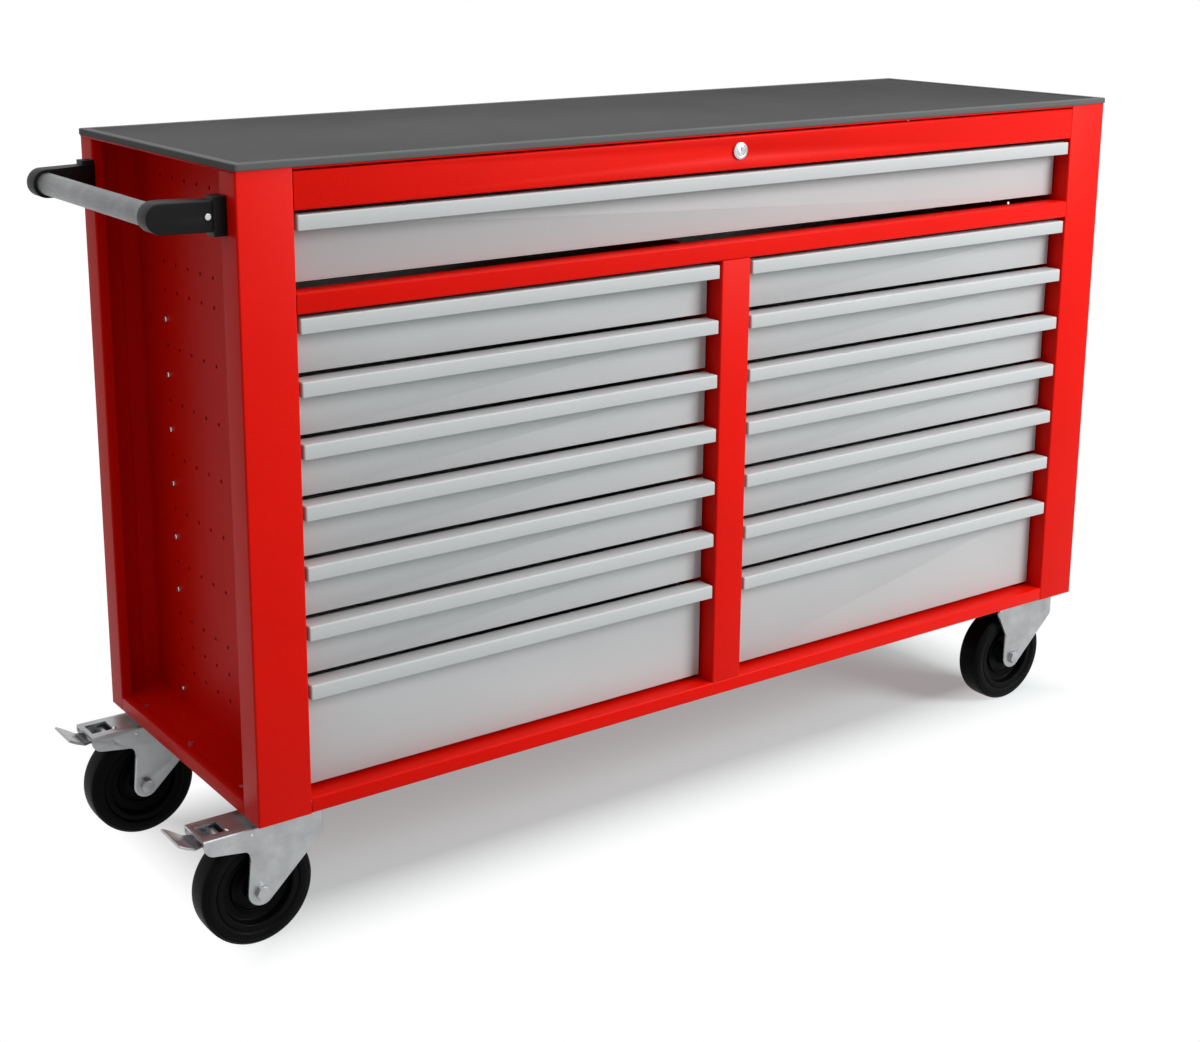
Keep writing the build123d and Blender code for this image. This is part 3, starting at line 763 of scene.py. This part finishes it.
@dataclass(frozen=True)
class SoftLamp:
    """A square soft lamp: where it stands, the point that it faces, its side and its power."""

    name: str
    place: tuple[float, float, float]
    aim: tuple[float, float, float]
    size: float
    power: float

    def build(self) -> None:
        """Create the lamp."""
        light = bpy.data.lights.new(self.name, "AREA")
        light.shape = "SQUARE"
        light.size = self.size
        light.energy = self.power
        lamp = bpy.data.objects.new(self.name, light)
        lamp.location = self.place
        lamp.rotation_euler = (Vector(self.aim) - Vector(self.place)).to_track_quat("-Z", "Y").to_euler()
        bpy.context.scene.collection.objects.link(lamp)


@dataclass
class Studio:
    """Pale floor, soft lights and a white surround."""

    floor_size: float = 30.0
    floor_dark: Colour = (0.41, 0.49, 0.49)
    floor_light: Colour = (0.43, 0.51, 0.51)
    floor_glow: float = 0.27
    fade: tuple[float, float] = (-0.10, 0.03)
    surround: float = 0.36
    lamps: tuple[SoftLamp, ...] = (
        SoftLamp("key_lamp", (2.5, -3.2, 2.3), (0.1, 0, 0.9), 1.8, 172),
        SoftLamp("top_lamp", (0.2, -0.6, 3.4), (0, -0.2, 0.0), 2.4, 60))

    def floor(self) -> bpy.types.Object:
        """A wide pale floor that takes the chest's shadow and fades to white away from the chest."""
        bm = bmesh.new()
        bmesh.ops.create_grid(bm, x_segments=1, y_segments=1, size=self.floor_size / 2)
        shader = Shader("pale_floor")
        grain = shader.noise(0.4, detail=3)
        shader.colour(shader.between(shader.spread(grain, 0.0, 1.0), self.floor_dark, self.floor_light))
        shader.constant("Roughness", 0.9)
        shader.constant("Specular IOR Level", 0.0)
        seen = shader.direct_rays()
        shader.surface.inputs["Emission Color"].default_value = (1, 1, 1, 1)
        glow = shader.maths("MULTIPLY", seen, self.floor_glow)
        shader.link(glow, shader.surface.inputs["Emission Strength"])
        fade = shader.maths("MULTIPLY", shader.spread(self.off_footprint(shader), 0.0, 1.0, *self.fade), seen)
        white = shader.add("ShaderNodeEmission")
        blend = shader.add("ShaderNodeMixShader")
        shader.link(fade, blend.inputs["Fac"])
        shader.link(shader.surface.outputs["BSDF"], blend.inputs[1])
        shader.link(white.outputs["Emission"], blend.inputs[2])
        shader.link(blend.outputs["Shader"], shader.tree.nodes["Material Output"].inputs["Surface"])
        plane = finish_mesh("floor", bm, shader.material)
        return plane

    @staticmethod
    def off_footprint(shader: Shader) -> Socket:
        """Distance on the floor from the outline of the caster plates, negative inside it.

        Args:
            shader: The floor's material.

        Returns:
            The distance, in metres.
        """
        low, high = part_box("caster_plates")
        split = shader.add("ShaderNodeSeparateXYZ")
        shader.link(shader.place, split.inputs["Vector"])
        beyond = []
        for axis, start, end in zip("XY", low, high):
            off_middle = shader.maths("SUBTRACT", split.outputs[axis], (start + end) / 2)
            beyond.append(shader.maths("SUBTRACT", shader.maths("ABSOLUTE", off_middle), (end - start) / 2))
        return shader.maths("MAXIMUM", *beyond)

    def world(self) -> None:
        """White surround for the camera and reflections, softer for the light that it gives."""
        world = bpy.data.worlds.new("surround")
        bpy.context.scene.world = world
        world.use_nodes = True
        tree = world.node_tree
        background = tree.nodes["Background"]
        background.inputs["Color"].default_value = (1, 1, 1, 1)
        rays = tree.nodes.new("ShaderNodeLightPath")
        seen = tree.nodes.new("ShaderNodeMath")
        seen.operation = "MAXIMUM"
        tree.links.new(rays.outputs["Is Camera Ray"], seen.inputs[0])
        mirror_like = tree.nodes.new("ShaderNodeMath")
        mirror_like.operation = "MAXIMUM"
        tree.links.new(rays.outputs["Is Glossy Ray"], mirror_like.inputs[0])
        tree.links.new(rays.outputs["Is Transmission Ray"], mirror_like.inputs[1])
        tree.links.new(mirror_like.outputs[0], seen.inputs[1])
        level = tree.nodes.new("ShaderNodeMapRange")
        level.inputs["To Min"].default_value = self.surround
        level.inputs["To Max"].default_value = 1.0
        tree.links.new(seen.outputs[0], level.inputs["Value"])
        tree.links.new(level.outputs["Result"], background.inputs["Strength"])

    def build(self) -> None:
        """Set up the floor, the world and the lamps."""
        self.floor()
        self.world()
        for lamp in self.lamps:
            lamp.build()
        view = bpy.context.scene.view_settings
        view.view_transform = "Standard"


@dataclass
class Viewpoint:
    """The camera in front of the chest's left end."""

    place: tuple[float, float, float] = (-1.5645, -2.102, 1.224)
    turn: float = 34.39
    tilt: float = 13.58
    lens: float = 55.85
    shift_x: float = 0.0539
    shift_y: float = -0.12

    def build(self) -> None:
        """Create the scene's camera."""
        data = bpy.data.cameras.new("camera")
        data.lens = self.lens
        data.sensor_width = 36
        data.shift_x = self.shift_x
        data.shift_y = self.shift_y
        data.clip_start = 0.05
        data.clip_end = 100
        camera = bpy.data.objects.new("camera", data)
        camera.location = self.place
        camera.rotation_euler = (math.radians(90 - self.tilt), 0, -math.radians(self.turn))
        bpy.context.scene.collection.objects.link(camera)
        bpy.context.scene.camera = camera


def main() -> None:
    """Build the chest's pieces, the studio and the camera."""
    logging.basicConfig(level=logging.INFO, format="%(name)s: %(message)s")
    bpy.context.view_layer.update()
    palette = Palette()
    for assembly in (Cabinet(palette), Drawers(palette), Handle(palette), Lock(palette), Casters(palette),
                     Studio(), Viewpoint()):
        LOG.info("building %s", type(assembly).__name__)
        assembly.build()


if __name__ == "__main__":
    main()
